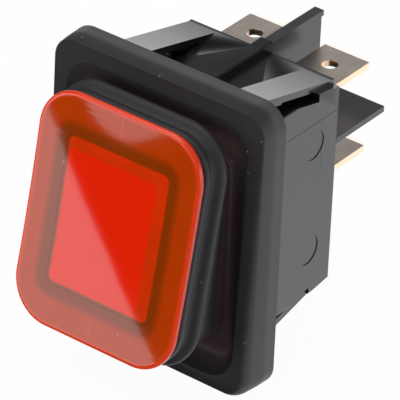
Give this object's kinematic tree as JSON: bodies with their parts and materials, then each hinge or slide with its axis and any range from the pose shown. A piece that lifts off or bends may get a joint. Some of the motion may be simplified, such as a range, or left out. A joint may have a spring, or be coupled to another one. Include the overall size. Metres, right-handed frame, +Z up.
{
  "type": "panel rocker switch",
  "caption": "Sealed illuminated double-pole rocker switch: red lens in a black rubber boot, snap-in body and four blade terminals",
  "frame": {"origin": "centre of the panel cut-out, in the plane of the panel's front face, where the flange's rear face seats", "axes": "X across the switch (right, seen from the front), -Y towards the user, +Y behind the panel, +Z up"},
  "size_m": [0.0296, 0.0415, 0.037],
  "materials": {
    "rubber_black": "matte moulded silicone rubber",
    "housing_black": "satin black glass-filled nylon",
    "barrier_black": "satin black nylon",
    "tinned_brass": "tin-plated brass, bare brass on the cut edges",
    "silver": "silver alloy",
    "lamp_glass": "clear lamp glass",
    "resistor_body": "lacquered ceramic",
    "lead_wire": "tinned copper wire",
    "red_lens": "transparent red polycarbonate",
    "diffuser_red": "translucent red, gridded",
    "spring_steel": "bright spring steel",
    "plunger_brass": "turned brass",
    "copper_strip": "copper strip"
  },
  "bodies": {
    "body": {"rubber_boot": "rubber_black", "housing": "housing_black", "top_cover": "housing_black", "rear_barrier": "barrier_black", "terminal_upper_left": "tinned_brass", "terminal_upper_right": "tinned_brass", "terminal_lower_left": "tinned_brass", "terminal_lower_right": "tinned_brass", "fixed_contact_left": "silver", "fixed_contact_right": "silver", "neon_lamp": "lamp_glass", "lamp_resistor": "resistor_body", "lamp_leads": "lead_wire"},
    "rocker": {"rocker_carrier": "housing_black", "lens_cap": "red_lens", "light_diffuser": "diffuser_red", "plunger_spring_left": "spring_steel", "plunger_spring_right": "spring_steel"},
    "plunger_left": {"plunger_left": "plunger_brass"},
    "plunger_right": {"plunger_right": "plunger_brass"},
    "seesaw_left": {"seesaw_left": "copper_strip", "moving_contact_left": "silver"},
    "seesaw_right": {"seesaw_right": "copper_strip", "moving_contact_right": "silver"}
  },
  "joints": [
    {"name": "rocker_pivot", "type": "hinge", "parent": "body", "child": "rocker", "pos_m": [0, -0.0002, 0], "axis": [1, 0, 0], "range_deg": [0, 23.6], "deforming": ["rubber_boot"]},
    {"name": "plunger_slide_left", "type": "slide", "parent": "rocker", "child": "plunger_left", "axis": [0, -0.9789, 0.2045], "range_m": [0, 0.0008], "stiffness_N_per_m": 250, "springref_m": -0.001, "deforming": ["plunger_spring_left"]},
    {"name": "seesaw_pivot_left", "type": "hinge", "parent": "body", "child": "seesaw_left", "pos_m": [-0.00535, 0.0093, 0], "axis": [1, 0, 0], "range_deg": [-10, 0]},
    {"name": "plunger_slide_right", "type": "slide", "parent": "rocker", "child": "plunger_right", "axis": [0, -0.9789, 0.2045], "range_m": [0, 0.0008], "stiffness_N_per_m": 250, "springref_m": -0.001, "deforming": ["plunger_spring_right"]},
    {"name": "seesaw_pivot_right", "type": "hinge", "parent": "body", "child": "seesaw_right", "pos_m": [0.00535, 0.0093, 0], "axis": [1, 0, 0], "range_deg": [-10, 0]}
  ],
  "couplings": [
    {"joint": "seesaw_pivot_left", "follows": "rocker_pivot", "ratio": -0.42373},
    {"joint": "seesaw_pivot_right", "follows": "rocker_pivot", "ratio": -0.42373}
  ]
}
